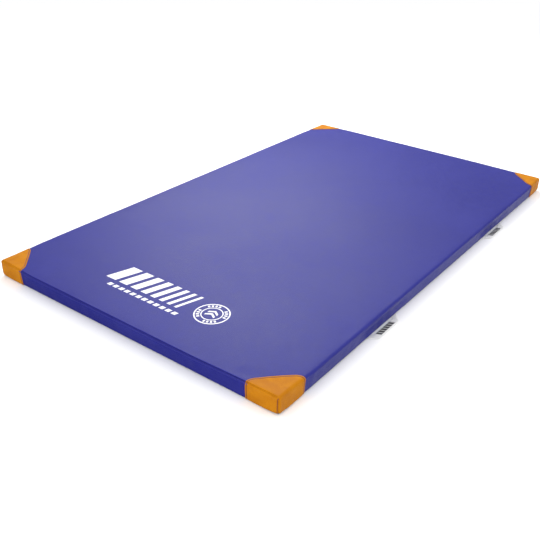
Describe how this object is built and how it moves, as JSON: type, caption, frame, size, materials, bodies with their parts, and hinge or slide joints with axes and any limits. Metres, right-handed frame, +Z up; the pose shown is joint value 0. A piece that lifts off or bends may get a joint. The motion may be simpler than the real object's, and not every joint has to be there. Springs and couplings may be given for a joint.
{
  "type": "gymnastics landing mat",
  "caption": "Flat gymnastics landing mat: foam block in a zipped blue-violet cover, with leather corner guards and webbing carry handles.",
  "frame": {"origin": "on the floor, under the middle of the mat", "axes": "+Z up from the floor, Y along the mat's length, X across it, with the zip in the long side at -X"},
  "size_m": [1.261, 2.0026, 0.06],
  "materials": {
    "cover_vinyl": "blue-violet coated fabric, fine leather grain, satin",
    "antislip_vinyl": "dark grey dotted anti-slip fabric, matt",
    "guard_leather": "smooth orange-tan leather, stitched",
    "handle_webbing": "white woven webbing with a dark pattern",
    "firm_foam": "firm foam",
    "soft_foam": "soft open-cell foam",
    "zip_tape": "dark blue woven tape and moulded coil",
    "zip_metal": "tumbled metal"
  },
  "bodies": {
    "mat": {"cover_wrap": "cover_vinyl", "cover_strip_below_zip": "cover_vinyl", "cover_end_near": "cover_vinyl", "cover_end_far": "cover_vinyl", "cover_bottom_sheet": "antislip_vinyl", "foam_base_layer": "firm_foam", "foam_top_layer": "firm_foam", "foam_core_layer": "soft_foam", "guard_near_left_wrap_piece": "guard_leather", "guard_near_left_end_piece": "guard_leather", "guard_near_right_wrap_piece": "guard_leather", "guard_near_right_end_piece": "guard_leather", "guard_far_left_wrap_piece": "guard_leather", "guard_far_left_end_piece": "guard_leather", "guard_far_right_wrap_piece": "guard_leather", "guard_far_right_end_piece": "guard_leather", "handle_left_near_near_tab": "handle_webbing", "handle_left_near_far_tab": "handle_webbing", "handle_left_far_near_tab": "handle_webbing", "handle_left_far_far_tab": "handle_webbing", "handle_right_near_near_tab": "handle_webbing", "handle_right_near_far_tab": "handle_webbing", "handle_right_far_near_tab": "handle_webbing", "handle_right_far_far_tab": "handle_webbing", "zip_tape_upper": "zip_tape", "zip_tape_lower": "zip_tape", "zip_teeth_upper": "zip_tape", "zip_teeth_lower": "zip_tape", "zip_far_stop": "zip_metal", "zip_near_stop": "zip_metal"},
    "handle_right_near": {"handle_right_near": "handle_webbing"},
    "handle_right_far": {"handle_right_far": "handle_webbing"},
    "handle_left_near": {"handle_left_near": "handle_webbing"},
    "handle_left_far": {"handle_left_far": "handle_webbing"},
    "zip_slider": {"zip_slider": "zip_metal"},
    "zip_pull": {"zip_pull": "zip_metal"}
  },
  "joints": [
    {"name": "handle_right_near_fold", "type": "hinge", "parent": "mat", "child": "handle_right_near", "pos_m": [0.6025, -0.45, 0.0019], "axis": [0, -1, 0], "range_deg": [-90, 88]},
    {"name": "handle_right_far_fold", "type": "hinge", "parent": "mat", "child": "handle_right_far", "pos_m": [0.6025, 0.45, 0.0019], "axis": [0, -1, 0], "range_deg": [-90, 88]},
    {"name": "handle_left_near_fold", "type": "hinge", "parent": "mat", "child": "handle_left_near", "pos_m": [-0.6025, -0.45, 0.0019], "axis": [0, 1, 0], "range_deg": [-90, 88]},
    {"name": "handle_left_far_fold", "type": "hinge", "parent": "mat", "child": "handle_left_far", "pos_m": [-0.6025, 0.45, 0.0019], "axis": [0, 1, 0], "range_deg": [-90, 88]},
    {"name": "zip_slider_run", "type": "slide", "parent": "mat", "child": "zip_slider", "axis": [0, -1, 0], "range_m": [0, 1.725]},
    {"name": "zip_pull_swing", "type": "hinge", "parent": "zip_slider", "child": "zip_pull", "pos_m": [-0.6036, 0.8635, 0.04], "axis": [0, 0, -1], "range_deg": [0, 175]}
  ]
}
